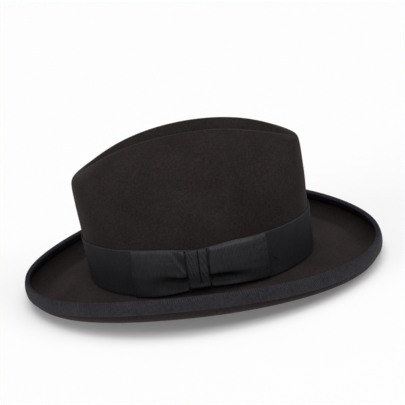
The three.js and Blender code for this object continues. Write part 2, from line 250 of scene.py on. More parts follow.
def wall_point(t, height, distance):
    """A point a given distance out from the crown's wall at a given height."""
    t, height = np.broadcast_arrays(t, height)
    level = np.maximum(height, ROOT["top"])
    low, high = np.zeros(t.shape), np.ones(t.shape)
    for _ in range(HALVINGS):
        middle = (low + high) / 2
        above = crown_section(t, middle)[..., 2] > level
        low, high = np.where(above, middle, low), np.where(above, high, middle)
    out = normal(crown_section, t, np.minimum(low, 0.999)) * (1, 1, 0)
    p = crown_section(t, low) + unit(out) * np.asarray(distance)[..., None]
    p[..., 2] = height
    return p


def relief(p, size, seed):
    """Slow unevenness from -1 to 1, the same at the same place."""
    x, y, z = (p[..., k] / size for k in range(3))
    a = np.sin(1.7 * x + 2.3 * y + seed) * np.sin(2.9 * z - 1.1 * x + 2 * seed)
    b = np.sin(3.1 * y - 1.9 * z + 3 * seed) * np.sin(2.6 * x + 1.3 * z - seed)
    return (a + b) / 2


# Mesh building

ANGLE_STEPS = 1440


def mesh_object(name, verts, faces, uvs, material, weld=0.0):
    """A smooth-shaded object from points in millimetres from the crown's foot. Faces turn out."""
    mesh = bpy.data.meshes.new(name)
    mesh.from_pydata(((verts + CROWN_FOOT) * MM).tolist(), [], faces)
    layer = mesh.uv_layers.new(name="weave")
    layer.data.foreach_set("uv", np.asarray(uvs, np.float32).ravel())
    bm = bmesh.new()
    bm.from_mesh(mesh)
    if weld:
        bmesh.ops.remove_doubles(bm, verts=bm.verts, dist=weld * MM)
    if bm.calc_volume(signed=True) < 0:
        bmesh.ops.reverse_faces(bm, faces=bm.faces)
    for face in bm.faces:
        face.smooth = True
    bm.to_mesh(mesh)
    bm.free()
    mesh.materials.append(material)
    obj = bpy.data.objects.new(name, mesh)
    bpy.context.scene.collection.objects.link(obj)
    return obj


def loft(name, grid, along, across, material, ring=False, loop=False, caps=False, weld=0.0):
    """Joins grid[i, j] into quads. Ring closes i and loop closes j. Caps close the two ends of a
    slab whose section runs over the front and back along the same rows. Along and across hold
    the weave coordinates of i and j, one more of each where the grid closes."""
    nu, nv = grid.shape[:2]
    i, j = np.meshgrid(np.arange(nu - 1 + ring), np.arange(nv - 1 + loop), indexing="ij")
    corners = [(i, j), (i + 1, j), (i + 1, j + 1), (i, j + 1)]
    faces = np.stack([(a % nu) * nv + b % nv for a, b in corners], -1).reshape(-1, 4)
    uvs = np.stack([np.stack([along[a], across[b]], -1) for a, b in corners], -2).reshape(-1, 2)
    faces = faces.tolist()
    if caps:
        k = np.arange(nv // 2 - 1)
        start = np.stack([k, k + 1, nv - 2 - k, nv - 1 - k], -1)
        end = (nu - 1) * nv + start[:, ::-1]
        faces += start.tolist() + end.tolist()
        uvs = np.vstack([uvs, np.zeros((8 * len(k), 2))])
    return mesh_object(name, grid.reshape(-1, 3), faces, uvs, material, weld)


def place(piece, slot, *nodes):
    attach(piece, "root")
    if nodes:
        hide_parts(*nodes)


def lengths_round(curve):
    """Close angles round a closed curve, and its length up to each."""
    t = np.linspace(0, 2 * math.pi, ANGLE_STEPS + 1)
    steps = np.linalg.norm(np.diff(curve(t), axis=0), axis=-1)
    return t, np.concatenate([[0], np.cumsum(steps)])


def even_angles(curve, count):
    """Angles that divide a closed curve into equal lengths."""
    t, length = lengths_round(curve)
    return np.interp(np.arange(count) / count * length[-1], length, t)


# Materials

RIBBON_WIDTH = 0.0415
RIB_PITCH = 1.25
THREAD_PITCH = 0.36
# Blotches of each noise to a metre
FELT_NOISE = dict(blotch=26, tint=420, nap=560, fibre=1500)
RIBBON_NOISE = dict(slow=45, uneven=60, streaks=380, grain=520, tint=650)
FELT_LOOK = dict(roughness=0.95, specular=0.04, sheen=0.03, sheen_roughness=0.5,
                 sheen_tint=(1.0, 0.93, 0.9, 1.0), bump=0.35, bump_depth=0.0006)
RIBBON_LOOK = dict(roughness=0.62, specular=0.12, sheen=0.02, sheen_roughness=0.4,
                   sheen_tint=(0.9, 0.94, 1.0, 1.0), bump=0.3, bump_depth=0.0002)
# Greys that multiply the color in the felt's nap and fibres, and a painted sheen that lightens it at
# grazing angles
FELT_SHADE = dict(nap=(0.76, 1.24), fibre=(0.70, 1.30), painted_sheen=(1.0, 2.2))
PAINTED_SHEEN_ANGLES = (0.52, 0.97)
FELT_TINT = ((1.06, 0.99, 0.93), (0.94, 1.01, 1.07))
# Greys of the ribs' crowns, a painted highlight over the painted shade of the grooves, of the
# threads, their unevenness and the selvedges
RIBBON_SHADE = dict(crown=1.12, thread=(0.84, 1.05), uneven=(0.9, 1.1), selvedge=(1.0, 1.5))
SELVEDGES = dict(both=(0.474, 0.482), top=(0.425, 0.45))
# Samples of the painted hollow shade, and the stops of its occlusion between closed in and open
HOLLOW = dict(samples=8, closed=0.25, open=0.7)


def new_material(name):
    material = bpy.data.materials.new(name)
    material.use_nodes = True
    tree = material.node_tree
    return material, tree, tree.nodes["Principled BSDF"]


def noise(tree, vector, scale, detail=2.0, rough=0.5, stretch=None):
    """A noise value. Scale is the number of blotches to a metre."""
    if stretch:
        mapping = tree.nodes.new("ShaderNodeMapping")
        mapping.inputs["Scale"].default_value = stretch
        tree.links.new(vector, mapping.inputs["Vector"])
        vector = mapping.outputs["Vector"]
    node = tree.nodes.new("ShaderNodeTexNoise")
    node.inputs["Scale"].default_value = scale
    node.inputs["Detail"].default_value = detail
    node.inputs["Roughness"].default_value = rough
    tree.links.new(vector, node.inputs["Vector"])
    return node.outputs["Fac"]


def ramp(tree, value, low, high, stops):
    """Runs from the low to the high color as the value goes from one stop to the other."""
    node = tree.nodes.new("ShaderNodeValToRGB")
    tree.links.new(value, node.inputs["Fac"])
    for k, color in enumerate((low, high)):
        node.color_ramp.elements[k].position = stops[k]
        node.color_ramp.elements[k].color = (*color, 1.0)
    return node.outputs["Color"]


def math_node(tree, operation, a, b=None, c=None):
    node = tree.nodes.new("ShaderNodeMath")
    node.operation = operation
    for socket, value in zip(node.inputs, (a, b, c)):
        if isinstance(value, (int, float)):
            socket.default_value = value
        elif value is not None:
            tree.links.new(value, socket)
    return node.outputs[0]


def multiply(tree, a, b):
    """One color times another."""
    node = tree.nodes.new("ShaderNodeMix")
    node.data_type = "RGBA"
    node.blend_type = "MULTIPLY"
    node.inputs["Factor"].default_value = 1.0
    tree.links.new(a, node.inputs["A"])
    tree.links.new(b, node.inputs["B"])
    return node.outputs["Result"]


def shade(tree, color, value, greys, stops=(0.3, 0.7)):
    """Color times a grey that runs from the first to the second between two stops of the value."""
    low, high = ((grey,) * 3 for grey in greys)
    return multiply(tree, color, ramp(tree, value, low, high, stops))


def tint(tree, color, value, warm, cool):
    """Color made warmer where the value is low and cooler where it is high."""
    return multiply(tree, color, ramp(tree, value, warm, cool, (0.36, 0.64)))


def hollow_shade(tree, color, reach, deep, own):
    """Color darkened by painted shade where cloth closes the surface in, down to deep in a hollow.
    Own counts only the piece itself."""
    node = tree.nodes.new("ShaderNodeAmbientOcclusion")
    node.samples = HOLLOW["samples"]
    node.only_local = own
    node.inputs["Distance"].default_value = reach
    return shade(tree, color, node.outputs["AO"], (deep, 1.0), (HOLLOW["closed"], HOLLOW["open"]))


def ridges(tree, value, pitch):
    """Round ridges along a length in metres, at a pitch in millimetres."""
    phase = math_node(tree, "MULTIPLY", value, math.pi / (pitch * MM))
    return math_node(tree, "ABSOLUTE", math_node(tree, "SINE", phase))


def finish_cloth(tree, shader, look, color, height):
    """Joins the color and the bump's height to the shader and sets the numbers of its look."""
    tree.links.new(color, shader.inputs["Base Color"])
    shader.inputs["Roughness"].default_value = look["roughness"]
    shader.inputs["Specular IOR Level"].default_value = look["specular"]
    shader.inputs["Sheen Weight"].default_value = look["sheen"]
    shader.inputs["Sheen Roughness"].default_value = look["sheen_roughness"]
    shader.inputs["Sheen Tint"].default_value = look["sheen_tint"]
    node = tree.nodes.new("ShaderNodeBump")
    node.inputs["Strength"].default_value = look["bump"]
    node.inputs["Distance"].default_value = look["bump_depth"]
    tree.links.new(height, node.inputs["Height"])
    tree.links.new(node.outputs["Normal"], shader.inputs["Normal"])


def felt_material(name, dark, light):
    """Brushed fur felt: a short tangled nap and soft blotches, with a painted sheen at grazing angles
    and painted shade in its own hollows.
    """
    material, tree, shader = new_material(name)
    where = tree.nodes.new("ShaderNodeTexCoord").outputs["Object"]
    blotch = noise(tree, where, FELT_NOISE["blotch"])
    nap = noise(tree, where, FELT_NOISE["nap"], 2, 0.6)
    fibre = noise(tree, where, FELT_NOISE["fibre"], 3, 0.7)
    speckle = noise(tree, where, FELT_NOISE["tint"], 2, 0.6)
    color = ramp(tree, blotch, dark, light, (0.32, 0.68))
    color = tint(tree, color, speckle, *FELT_TINT)
    color = shade(tree, color, nap, FELT_SHADE["nap"], (0.34, 0.66))
    color = shade(tree, color, fibre, FELT_SHADE["fibre"])
    # Painted sheen: the color grows lighter toward grazing angles
    grazing = tree.nodes.new("ShaderNodeLayerWeight")
    grazing.inputs["Blend"].default_value = 0.5
    color = shade(tree, color, grazing.outputs["Facing"], FELT_SHADE["painted_sheen"], PAINTED_SHEEN_ANGLES)
    # Painted shade in the felt's own hollows: the crease and the inside of the curl
    color = hollow_shade(tree, color, reach=0.04, deep=0.45, own=True)
    finish_cloth(tree, shader, FELT_LOOK, color, math_node(tree, "MULTIPLY_ADD", nap, 0.6, fibre))
    return material


def ribbon_material(name, dark, light, streak, speck, groove, top_only=False):
    """Ribbed grosgrain: the warp wraps each rib, painted shade darkens the grooves and a painted
    highlight lightens the ribs' crowns, the selvedges are light, and painted shade darkens it where
    cloth closes it in.
    Streak is how much the tone changes in long lines along the ribbon, speck how much it changes
    from spot to spot, and groove the grey of the painted shade in the grooves. Top_only leaves the
    lower selvedge out."""
    material, tree, shader = new_material(name)
    weave = tree.nodes.new("ShaderNodeUVMap")
    weave.uv_map = "weave"
    uv = weave.outputs["UV"]
    where = tree.nodes.new("ShaderNodeTexCoord").outputs["Object"]
    split = tree.nodes.new("ShaderNodeSeparateXYZ")
    tree.links.new(uv, split.inputs[0])
    rib = ridges(tree, split.outputs["X"], RIB_PITCH)
    thread = ridges(tree, split.outputs["Y"], THREAD_PITCH)
    uneven = noise(tree, uv, RIBBON_NOISE["uneven"], stretch=(8.0, 1.0, 1.0))
    streaks = noise(tree, uv, RIBBON_NOISE["streaks"], stretch=(0.06, 1.0, 1.0))
    slow = noise(tree, where, RIBBON_NOISE["slow"], 3, 0.6)
    grain = noise(tree, where, RIBBON_NOISE["grain"], 2, 0.6)
    speckle = noise(tree, where, RIBBON_NOISE["tint"], 2, 0.6)
    share = math_node(tree, "MULTIPLY_ADD", split.outputs["Y"], 1 / RIBBON_WIDTH, -0.5)
    edge = share if top_only else math_node(tree, "ABSOLUTE", share)
    warm = (1 + 0.3 * speck, 1.0, 1 - 0.2 * speck)
    cool = (1 - 0.3 * speck, 1.0, 1 + 0.4 * speck)
    color = ramp(tree, slow, dark, light, (0.35, 0.65))
    # Painted shade in the grooves between the ribs, and a painted highlight on their crowns
    color = shade(tree, color, rib, (groove, RIBBON_SHADE["crown"]), (0.0, 0.8))
    color = shade(tree, color, thread, RIBBON_SHADE["thread"], (0.0, 0.6))
    color = shade(tree, color, uneven, RIBBON_SHADE["uneven"])
    color = shade(tree, color, grain, (1 - speck, 1 + speck))
    color = tint(tree, color, speckle, warm, cool)
    color = shade(tree, color, streaks, (1 - streak, 1 + streak))
    selvedge = SELVEDGES["top" if top_only else "both"]
    color = shade(tree, color, edge, RIBBON_SHADE["selvedge"], selvedge)
    # Painted shade where felt or other cloth closes the ribbon in, as in the binding's curl and under
    # the bow
    color = hollow_shade(tree, color, reach=0.03, deep=0.36, own=False)
    finish_cloth(tree, shader, RIBBON_LOOK, color, math_node(tree, "MULTIPLY_ADD", thread, 0.35, rib))
    return material


def thread_material(name):
    material, _, shader = new_material(name)
    shader.inputs["Base Color"].default_value = (0.006, 0.006, 0.007, 1.0)
    shader.inputs["Roughness"].default_value = 0.8
    return material


FELT = felt_material("felt", dark=(0.0196, 0.0156, 0.0150), light=(0.0262, 0.0212, 0.0205))
BAND_RIBBON = ribbon_material(
    "band_ribbon", dark=(0.0204, 0.0201, 0.0233), light=(0.0252, 0.0248, 0.0288),
    streak=0.03, speck=0.16, groove=0.32)
BOW_RIBBON = ribbon_material(
    "bow_ribbon", dark=(0.0276, 0.0272, 0.0302), light=(0.0336, 0.0332, 0.0366),
    streak=0.08, speck=0.14, groove=0.45, top_only=True)
BINDING_RIBBON = ribbon_material(
    "binding_ribbon", dark=(0.0226, 0.0216, 0.0264), light=(0.0300, 0.0286, 0.0344),
    streak=0.03, speck=0.36, groove=0.3)
THREAD = thread_material("thread")


# Felt body

FELT_COLUMNS = 360
SECTIONS = (crease_section, crown_section, root_section, flat_section, curl_section)
# Rows along each section
OUTER_ROWS = (18, 64, 6, 18, 22)
INNER_ROWS = (9, 26, 4, 8, 12)
RESTING = -CROWN_FOOT[2]
FELT_WEAVE = 0.003
# Height and size of the felt's two kinds of unevenness, and its share on the brim
UNEVEN = dict(broad=0.35, broad_size=34, fine=0.12, fine_size=13, brim=0.8)
# Heights between which the unevenness of the crown's wall begins, over the band
FREE_WALL = (46, 62)


def inner_point(section, t, u):
    """The felt's inner face: straight down under the crease, square to the wall elsewhere."""
    if section is not crease_section:
        return section(t, u) - normal(section, t, u) * FELT_WALL
    run = section(t, u + 0.01) - section(t, u - 0.01)
    steepness = np.hypot(run[..., 0], run[..., 2]) / np.maximum(np.abs(run[..., 0]), 1e-4)
    steepness = np.where(np.abs(run[..., 0]) > 1e-4, steepness, 1)
    return section(t, u) - vec(0, 0, FELT_WALL * np.minimum(steepness, STEEPEST))


def outer_point(section, t, u):
    """The felt's outer face, slowly uneven where nothing is sewn to it."""
    p = section(t, u)
    free = 0.0
    if section is crown_section:
        free = smooth(p[..., 2], *FREE_WALL)
    elif section is flat_section:
        free = bump(u, 0.55, 0.45) * UNEVEN["brim"]
    elif section is crease_section:
        free = bump(u, 0.75, 0.6) * np.abs(np.cos(t)) ** 2
    broad = UNEVEN["broad"] * relief(p, UNEVEN["broad_size"], 0.7)
    fine = UNEVEN["fine"] * relief(p, UNEVEN["fine_size"], 2.1)
    return p + normal(section, t, u) * ((broad + fine) * free)[..., None]


def felt_rows(point, counts):
    """Rows of one face of the felt from the crease out to the lip."""
    t = np.arange(FELT_COLUMNS) / FELT_COLUMNS * 2 * math.pi
    rows = []
    for section, count in zip(SECTIONS, counts):
        first = 0 if section is crease_section else 1
        rows += [point(section, t, np.full(t.shape, k / count)) for k in range(first, count + 1)]
    return rows


def felt_body():
    outer, inner = felt_rows(outer_point, OUTER_ROWS), felt_rows(inner_point, INNER_ROWS)
    grid = np.stack(outer + inner[::-1])
    grid[..., 2] = np.maximum(grid[..., 2], RESTING)
    along = np.arange(grid.shape[0]) * FELT_WEAVE
    across = np.arange(FELT_COLUMNS + 1) * FELT_WEAVE
    return loft("felt", grid, along, across, FELT, loop=True, weld=0.002)


place(felt_body(), "felt", "felt_body")


# Hat band

BOW = dict(middle=math.radians(5.1), reach=104.5, plies=2.3)
BAND_BOTTOM = 1.4
# Height at which the ribbon's length is taken
BAND_LEVEL = 20.0
# What the knot does to the band's edges: the upper one drawn down, the lower one up
BAND_DIP = dict(depth=2.6, reach=34)
BAND_RISE = dict(height=3.6, middle=10, reach=56)
BAND_EDGE = dict(share=0.02, drop=0.5, selvedge=0.12)
BAND_ROWS = 11
RIB_COLUMNS = 5
RIB_HEIGHT = 0.16
# Shape of a rib's crown, from pointed at 1 toward flat at 0
RIB_ROUND = 0.7


def rib_profile(ribs):
    """From 0 on the crown of a rib to -1 in the groove, at whole numbers of ribs."""
    return np.abs(np.sin(ribs * math.pi)) ** RIB_ROUND - 1


def rib_relief(columns, per_rib=RIB_COLUMNS):
    """How proud each column stands, with a groove at the first column of each rib."""
    return RIB_HEIGHT * rib_profile(np.arange(columns) / per_rib)


def rib_weave(columns, per_rib=RIB_COLUMNS):
    """Weave coordinates along the ribs."""
    return np.arange(columns) * RIB_PITCH / per_rib * MM


def ribbon_shares(rows, edge):
    """Row shares across a ribbon with close rows at both edges."""
    inner = np.linspace(edge, 1 - edge, rows)[1:-1]
    return np.concatenate([[0, edge / 2, edge], inner, [1 - edge, 1 - edge / 2, 1]])


def edge_drop(share, edge):
    """Rounds a ribbon's face down toward both of its edges."""
    near = np.clip(1 - np.minimum(share, 1 - share) / edge, 0, 1)
    return 1 - np.sqrt(np.maximum(1 - near ** 2, 0))


def from_bow(t):
    """How far round the band an angle lies from the bow's middle, in millimetres."""
    return ((t - BOW["middle"] + math.pi) % (2 * math.pi) - math.pi) * BOW["reach"]


def band_top(t):
    return height_at("band", t) - BAND_DIP["depth"] * bump(from_bow(t), 0, BAND_DIP["reach"])


def band_bottom(t):
    rise = bump(from_bow(t), BAND_RISE["middle"], BAND_RISE["reach"])
    return BAND_BOTTOM + BAND_RISE["height"] * rise


def band_line(t):
    """The crown's wall at the height where the ribbon's length is taken."""
    return wall_point(t, BAND_LEVEL, 0.0)


def hat_band():
    length = lengths_round(band_line)[1][-1]
    ribs = round(length / RIB_PITCH)
    t = even_angles(band_line, ribs * RIB_COLUMNS)[:, None]
    ribbed = rib_relief(len(t))[:, None]
    share = ribbon_shares(BAND_ROWS, BAND_EDGE["share"])
    back_share = np.array([1.0, 0.5, 0.0])
    bottom = band_bottom(t)
    rise = band_top(t) - bottom
    selvedge = smooth(np.abs(share - 0.5), 0.47, 0.485)
    stand = CLEARANCE + RIBBON + ribbed * (1 - 0.7 * selvedge) + BAND_EDGE["selvedge"] * selvedge
    stand = stand - BAND_EDGE["drop"] * edge_drop(share, BAND_EDGE["share"])
    front = wall_point(t, bottom + rise * share, stand)
    back = wall_point(t, bottom + rise * back_share, CLEARANCE)
    rows = np.concatenate([share, back_share + 1.1, [2.2]]) * RIBBON_WIDTH
    grid = np.concatenate([front, back], 1)
    piece = loft("band", grid, rib_weave(len(t) + 1), rows, BAND_RIBBON, ring=True, loop=True)
    return piece


place(hat_band(), "band_ribbon", "hat_band")


# Bow

# Along from the knot's middle, lower and upper edge, lift off the band, tuck of the part below
# the crease, share of the height at which the crease lies
BOW_STATIONS = np.array([
    (-60.2, -0.1, 43.3, 2.4, 0, 0.46), (-52, 0.2, 43.4, 2.8, 0, 0.46),
    (-42, 0.9, 43.6, 3.3, 0.2, 0.46), (-32, 2.2, 43.6, 3.9, 0.7, 0.44),
    (-22, 3.8, 43.1, 4.7, 1.3, 0.39), (-14, 5.1, 42, 5.1, 1.7, 0.355),
    (-10.7, 5.9, 41.3, 4.6, 1.5, 0.345), (-9.4, 9.2, 39, 2.4, 0.3, 0.335),
    (0, 9.2, 39, 2.4, 0, 0.335), (9.4, 9.2, 39, 2.4, 0.3, 0.335),
    (10.7, 6.9, 41, 4.7, 1.5, 0.325), (14, 6.6, 41.4, 5.3, 1.8, 0.325),
    (22, 5.9, 41.7, 5.1, 1.5, 0.325), (32, 4.9, 42, 4.4, 0.8, 0.325),
    (43, 3.9, 42.3, 3.6, 0.3, 0.325), (53, 3, 42.6, 3, 0.1, 0.325),
    (64.5, 2.2, 42.9, 2.4, 0, 0.325)])
# How far forward of its top the front end's foot lies, and where this starts and is full
BOW_LEAN = dict(along=3.6, start=22, end=60.2)
# Share across the bow and share of the lift there
PROFILE_CREASE = 0.395
BOW_PROFILE = np.array([
    (0, 0.42), (0.08, 0.6), (0.24, 0.82), (0.4, 1), (0.64, 0.96), (0.88, 0.72), (1, 0.5)])
# Close rows at the crease and at the rolled upper edge, and the even ones
BOW_ROWS = dict(count=28, edge=0.018, crease=(0.35, 0.42, 15), roll=(0.9, 0.982, 12))
BOW_HEIGHT = 37
# Where the wings come out from under the knot, and the least that the bow stands out
KNOT_EDGE = 9.6
LEAST_STAND = 0.9
# The sharp crease beside the knot and the hollow below it: depth, and how far out they reach
PINCH = dict(depth=2.2, lip=0.6, flat=13, reach=8.5)
HOLLOW_BELOW = dict(depth=2.6, middle=22, reach=15, share=0.22, half=0.24)
# Folds of the front wing from start to end, along and up, opening and closing at shares of this
FALLEN_FOLD = dict(start=(-23, 38), end=(-9.5, 18.5), opening=(-0.12, 0.25), closing=(0.85, 1.1),
                   depth=3.8, lip=0.6, width=7)
GATHER = dict(start=(-15.5, 38.5), end=(-9.8, 31), opening=(-0.2, 0.2), closing=(0.75, 1.05),
              rise=0.9, width=1.8)
# The rear wing's upper part: pressed in at the knot, swelling beyond it, with a rolled edge just
# over the band's
PRESSED = dict(depth=2.4, fading=(10, 12.6), share=(0.62, 0.95))
SWELLING = dict(height=0.9, opening=(12, 22), closing=(44, 62), share=(0.7, 0.93))
OVER_BAND = dict(height=0.3, opening=(10, 13), closing=(40, 57))
ROLL = dict(share=0.02, wider=0.06, fall=0.45, deeper=2.7, opening=(10, 14), closing=(42, 58))
HEM = dict(depth=0.14, share=0.963, width=0.012)
# Ripples beside the knot, and the slow unevenness of the whole bow
RIPPLES = dict(height=0.25, flat=10.5, reach=5)
BOW_UNEVEN = dict(height=0.16, size=12, across=41)


def table_value(table, column, x):
    """A smooth curve through one column of a table, with no overshoot between its rows."""
    xs, ys = table[:, 0], table[:, column]
    step, rise = np.diff(xs), np.diff(ys)
    slope = rise / step
    product, total = slope[:-1] * slope[1:], slope[:-1] + slope[1:]
    inner = np.where(product > 0, 2 * product / (total + 1e-12), 0)
    tangent = np.concatenate([[slope[0]], inner, [slope[-1]]])
    k = np.clip(np.searchsorted(xs, x) - 1, 0, len(xs) - 2)
    s = (x - xs[k]) / step[k]
    h = s * s * (3 - 2 * s)
    ends = s * (1 - s) ** 2 * tangent[k] - s * s * (1 - s) * tangent[k + 1]
    return ys[k] + rise[k] * h + step[k] * ends


def bow_angle(along):
    return BOW["middle"] + along / BOW["reach"]


def band_point(along, height, distance):
    """A point over the band, distance from its face."""
    return wall_point(bow_angle(along), height, CLEARANCE + RIBBON + distance)


def fold_line(along, up, fold):
    """Where a point lies against a fold on the bow: how far along it, and how far past it."""
    run = np.subtract(fold["end"], fold["start"])
    length = np.hypot(*run)
    c, s = run / length
    x, y = along - fold["start"][0], up - fold["start"][1]
    return (x * c + y * s) / length, y * c - x * s


def tucked_share(along, share):
    """How much of the tuck applies: the crease is a crisp step at the knot and fades outward."""
    soft = 0.012 + 0.16 * smooth(np.abs(along), 15, 34)
    below = 1 - smooth(share, PROFILE_CREASE - soft, PROFILE_CREASE + 0.3 * soft)
    return below * (0.4 + 0.6 * smooth(share, 0, 0.12))


def crease_folds(along, share):
    """The sharp crease beside the knot, with a raised lip over it, and the hollow below."""
    away = np.abs(along)
    crisp = np.exp(-(np.maximum(away - PINCH["flat"], 0) / PINCH["reach"]) ** 2)
    line = PINCH["lip"] * bump(share, PROFILE_CREASE + 0.08, 0.1)
    line = line - PINCH["depth"] * bump(share, PROFILE_CREASE - 0.018, 0.05)
    hollow = np.exp(-((away - HOLLOW_BELOW["middle"]) / HOLLOW_BELOW["reach"]) ** 2)
    low = HOLLOW_BELOW["depth"] * bump(share, HOLLOW_BELOW["share"], HOLLOW_BELOW["half"])
    return (crisp * line - hollow * low) * (away > KNOT_EDGE)


def front_folds(along, up):
    """The front wing's slanting folds at the knot's top: a fallen one and a small gather."""
    run, past = fold_line(along, up, FALLEN_FOLD)
    held = within(run, FALLEN_FOLD["opening"], FALLEN_FOLD["closing"])
    fallen = smooth(past, -0.3, 0.6) * np.clip(1 - (past - 0.6) / FALLEN_FOLD["width"], 0, 1)
    added = held * (FALLEN_FOLD["lip"] * bump(past, -1.4, 3.4) - FALLEN_FOLD["depth"] * fallen)
    run, past = fold_line(along, up, GATHER)
    held = within(run, GATHER["opening"], GATHER["closing"])
    added = added + GATHER["rise"] * bump(past, 0, GATHER["width"]) * held
    return added * (along < -KNOT_EDGE)


def rear_folds(along, share, up):
    """The rear wing above its crease: pressed in at the knot, swelling beyond it, and with low
    lines along the ribbon."""
    pressed = (1 - smooth(along, *PRESSED["fading"])) * smooth(share, *PRESSED["share"])
    swelling = within(along, SWELLING["opening"], SWELLING["closing"])
    swelling = swelling * smooth(share, *SWELLING["share"])
    lines = 0.1 * np.sin(up * 2.35 + 0.6 * np.sin(along * 0.13))
    lines = lines + 0.08 * np.sin(up * 1.1 - along * 0.05)
    lined = within(share, (PROFILE_CREASE, 0.5), (0.85, 0.95))
    added = SWELLING["height"] * swelling - PRESSED["depth"] * pressed
    return (added + lines * smooth(along, 13, 26) * lined) * (along > KNOT_EDGE)


def bow_folds(along, share):
    """What the folds and gathers beside the knot add to the bow's stand, in millimetres."""
    up = share * BOW_HEIGHT
    near = np.exp(-np.maximum(np.abs(along) - RIPPLES["flat"], 0) / RIPPLES["reach"])
    ripples = near * np.sin(share * 29 + along * 0.25) * smooth(share, 0.02, 0.2)
    wings = crease_folds(along, share) + front_folds(along, up) + rear_folds(along, share, up)
    return wings + RIPPLES["height"] * ripples


def wing_edge(along, share):
    """How far the bow's face falls back at its edges: a soft roll along the rear wing's top."""
    rolled = smooth(along, *ROLL["opening"]) * (1 - 0.7 * smooth(along, *ROLL["closing"]))
    top = np.clip(1 - (1 - share) / (ROLL["share"] + ROLL["wider"] * rolled), 0, 1)
    low = np.clip(1 - share / ROLL["share"], 0, 1)
    fall = (ROLL["fall"] + ROLL["deeper"] * rolled) * (1 - (1 - top ** 2) ** (0.5 + 0.3 * rolled))
    hem = HEM["depth"] * bump(share, HEM["share"], HEM["width"]) * smooth(-along, 12, 22)
    return fall + 0.4 * (1 - np.sqrt(np.maximum(1 - low ** 2, 0))) + hem


def bow_surface(along, share):
    """Where the bow's face lies: along the band with the front end's lean, height and stand."""
    bottom, top, lift, tuck, crease = (table_value(BOW_STATIONS, k, along) for k in range(1, 6))
    full, tucked = table_value(BOW_PROFILE, 1, share), tucked_share(along, share)
    over = within(along, OVER_BAND["opening"], OVER_BAND["closing"])
    top = top + over * (band_top(bow_angle(along)) + OVER_BAND["height"] - top)
    stand = lift * full - tuck * tucked + bow_folds(along, share)
    spot = vec(along, share * BOW_UNEVEN["across"], 0)
    stand = stand + BOW_UNEVEN["height"] * relief(spot, BOW_UNEVEN["size"], 1.3)
    stand = np.maximum(stand, LEAST_STAND) - wing_edge(along, share)
    below = share / PROFILE_CREASE * crease
    above = 1 - (1 - share) / (1 - PROFILE_CREASE) * (1 - crease)
    level = np.where(share < PROFILE_CREASE, below, above)
    lean = BOW_LEAN["along"] * smooth(-along, BOW_LEAN["start"], BOW_LEAN["end"])
    return along - lean * (1 - level), bottom + (top - bottom) * level, stand


def bow_ribbon():
    low, high = BOW_STATIONS[0, 0], BOW_STATIONS[-1, 0]
    columns = round((high - low) / RIB_PITCH) * RIB_COLUMNS + 1
    along = np.linspace(low, high, columns)[:, None]
    even = ribbon_shares(BOW_ROWS["count"], BOW_ROWS["edge"])
    close = [np.linspace(*BOW_ROWS["crease"]), np.linspace(*BOW_ROWS["roll"])]
    share = np.unique(np.round(np.concatenate([even, *close]), 4))
    leaning, height, stand = bow_surface(along, share)
    stand = stand + rib_relief(columns)[:, None]
    back = np.maximum(stand - BOW["plies"], CLEARANCE)
    front, rear = band_point(leaning, height, stand), band_point(leaning, height, back)
    rows = np.concatenate([share, 2.1 - share[::-1], [2.2]]) * RIBBON_WIDTH
    grid = np.concatenate([front, rear[:, ::-1]], 1)
    return loft("bow", grid, rib_weave(columns), rows, BOW_RIBBON, loop=True, caps=True)


place(bow_ribbon(), "bow_ribbon", "bow_ribbon")


# Knot

KNOT = dict(half=9, low=7.2, high=41.5, stand=5.2, wall=1.5, corner=2.2, waist=0.04, crown=0.5)
# Share of the half width where the knot's sides begin to fall, and how far they do
KNOT_SIDES = dict(start=0.88, fall=0.9)
KNOT_RIBS = 0.8
KNOT_COLUMNS = 73
CORNER_STEPS = 7
# Opening and closing are distances below the knot's top over which a form begins and ends, clear
# the same for its distance from the pleat
PLEAT = dict(middle=1.5, lean=0.01, depth=1.5, half=0.8, closing=(27, 31))
# Height of the ridges beside the pleat, place from its middle and half width
PLEAT_RIDGES = ((0.6, -1.1, 1.1), (0.5, 1.3, 1.3))
SECOND_PLEAT = dict(middle=3.9, depth=0.35, half=0.7, opening=(17, 21), closing=(28, 31))
FRONT_SLANTS = dict(height=0.34, lean=0.26, pitch=3.0, phase=0, clear=(1, 3), opening=(1, 5),
                    closing=(22, 30))
REAR_SLANTS = dict(height=0.3, lean=0.38, pitch=3.2, phase=1, clear=(1, 2.2), opening=(1, 5),
                   closing=(18, 26))
FOOT_GATHERS = dict(height=0.16, pitch=1.7, opening=(19, 26), clear=(1, 4))
DRAWN_IN = dict(top=2.0, top_closing=(0, 24), foot=1.8, foot_opening=(17, 31))


def knot_path(count):
    """Heights and distances of the knot's wrap from the band at its top to the band at its foot."""
    r = KNOT["corner"]
    turn = np.linspace(0, math.pi / 2, CORNER_STEPS)
    out = KNOT["stand"] - r + r * np.sin(turn)
    top = np.stack([KNOT["high"] - r + r * np.cos(turn), out], -1)
    foot = np.stack([KNOT["low"] + r - r * np.cos(turn), out], -1)[::-1]
    heights = np.linspace(KNOT["high"] - r, KNOT["low"] + r, count)[1:-1]
    middle = np.stack([heights, np.full(heights.shape, KNOT["stand"])], -1)
    ends = [[(KNOT["high"], CLEARANCE)], [(KNOT["low"], CLEARANCE)]]
    return np.concatenate([ends[0], top, middle, foot, ends[1]])


